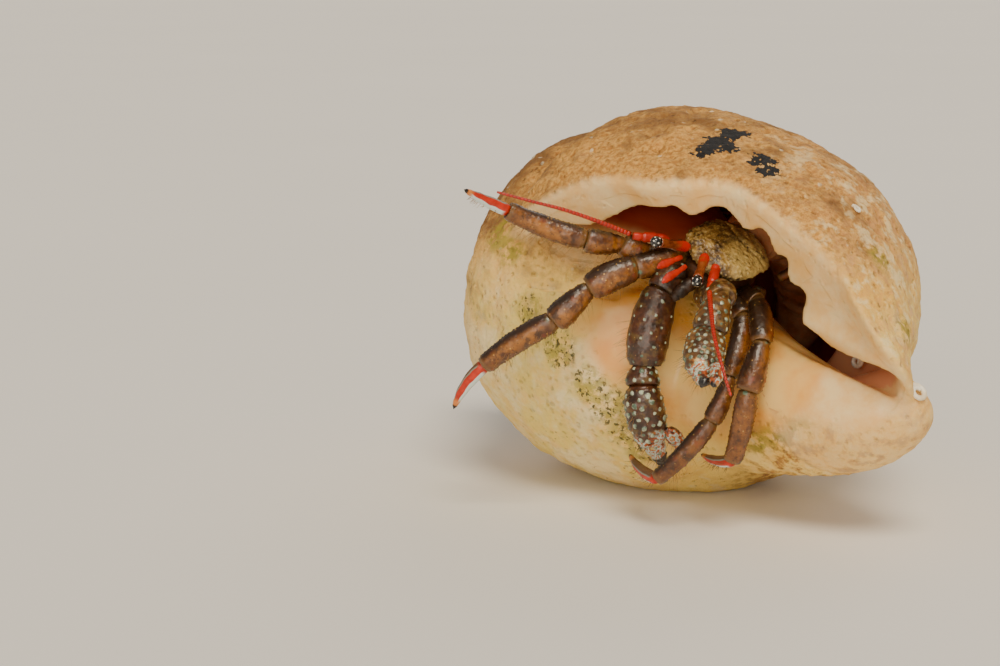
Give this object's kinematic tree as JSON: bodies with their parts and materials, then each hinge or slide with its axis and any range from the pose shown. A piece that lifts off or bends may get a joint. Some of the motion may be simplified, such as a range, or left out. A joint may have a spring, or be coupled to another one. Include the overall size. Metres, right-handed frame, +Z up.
{
  "type": "hermit crab in a dog whelk shell",
  "caption": "Life-size still model of a small red and brown hermit crab reaching out of a worn, cream-coloured whelk shell that lies on its side.",
  "frame": {"origin": "middle of the footprint, on the floor under the shell", "axes": "+Z up; the crab looks out of the shell towards -Y; +X towards the shell's canal end; +Y towards its spire"},
  "size_m": [0.028, 0.0368, 0.0234],
  "materials": {
    "old_shell": "chalky and worn outside, smooth and glossy on the lip and round the opening",
    "shield": "satin, mottled olive brown and gold",
    "body_crust": "satin, dark brown",
    "soft_skin": "soft and damp looking",
    "leg_crust": "satin, orange brown, fine hairs",
    "leg_tip": "satin, red with pale stripes and a black claw",
    "claw_crust": "satin, dark brown with pale blue bumps",
    "eye": "glossy black with white dots",
    "red_feeler": "satin red"
  },
  "bodies": {
    "root": {"shell": "old_shell", "carapace_shield": "shield", "thorax": "body_crust", "carapace_rear": "soft_skin", "abdomen_front": "soft_skin", "abdomen_middle": "soft_skin", "abdomen_rear": "soft_skin", "tail_fan": "body_crust", "leg_right_2_base": "leg_crust", "leg_right_2_merus": "leg_crust", "leg_right_2_carpus": "leg_crust", "leg_right_2_propodus": "leg_crust", "leg_right_2_dactyl": "leg_tip", "leg_right_3_base": "leg_crust", "leg_right_3_merus": "leg_crust", "leg_right_3_carpus": "leg_crust", "leg_right_3_propodus": "leg_crust", "leg_right_3_dactyl": "leg_tip", "claw_right_base": "claw_crust", "claw_right_merus": "claw_crust", "claw_right_carpus": "claw_crust", "claw_right_palm": "claw_crust", "claw_right_finger": "claw_crust", "leg_right_4": "body_crust", "leg_right_5": "body_crust", "eyestalk_right": "red_feeler", "eye_right": "eye", "antennule_right": "red_feeler", "antenna_base_right": "red_feeler", "antenna_right": "red_feeler", "mouthpart_right": "body_crust", "leg_left_2_base": "leg_crust", "leg_left_2_merus": "leg_crust", "leg_left_2_carpus": "leg_crust", "leg_left_2_propodus": "leg_crust", "leg_left_2_dactyl": "leg_tip", "leg_left_3_base": "leg_crust", "leg_left_3_merus": "leg_crust", "leg_left_3_carpus": "leg_crust", "leg_left_3_propodus": "leg_crust", "leg_left_3_dactyl": "leg_tip", "claw_left_base": "claw_crust", "claw_left_merus": "claw_crust", "claw_left_carpus": "claw_crust", "claw_left_palm": "claw_crust", "claw_left_finger": "claw_crust", "leg_left_4": "body_crust", "leg_left_5": "body_crust", "eyestalk_left": "red_feeler", "eye_left": "eye", "antennule_left": "red_feeler", "antenna_base_left": "red_feeler", "antenna_left": "red_feeler", "mouthpart_left": "body_crust"}
  },
  "joints": []
}
